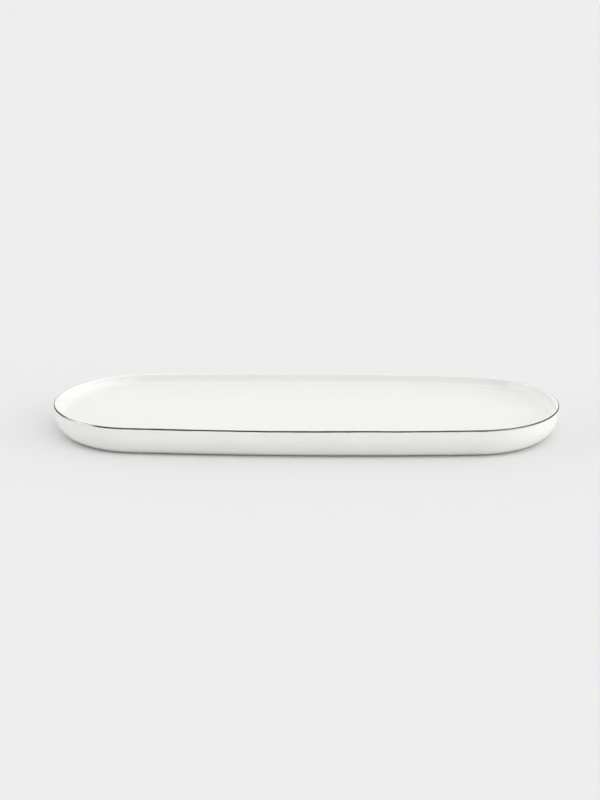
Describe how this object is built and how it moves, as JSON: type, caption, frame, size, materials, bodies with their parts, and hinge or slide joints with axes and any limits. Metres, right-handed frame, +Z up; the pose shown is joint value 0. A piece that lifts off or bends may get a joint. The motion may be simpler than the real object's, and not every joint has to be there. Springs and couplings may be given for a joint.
{
  "type": "china serving platter",
  "caption": "Long, low oval serving platter of white glazed porcelain, with an upright wall, a shallow well and a fine metal line on its lip.",
  "frame": {"origin": "centre of the flat plane that the foot rests on", "axes": "+X along the platter's length, +Y across it, +Z up out of the well"},
  "size_m": [0.3502, 0.1302, 0.021],
  "materials": {
    "bisque": "unglazed fired porcelain, fine and matte",
    "glaze": "clear gloss glaze over warm white porcelain",
    "platinum": "platinum lustre, a thin dark mirror film brushed on by hand"
  },
  "bodies": {
    "root": {"porcelain_body": "bisque", "upper_glaze": "glaze", "underside_glaze": "glaze", "platinum_band": "platinum"}
  },
  "joints": []
}
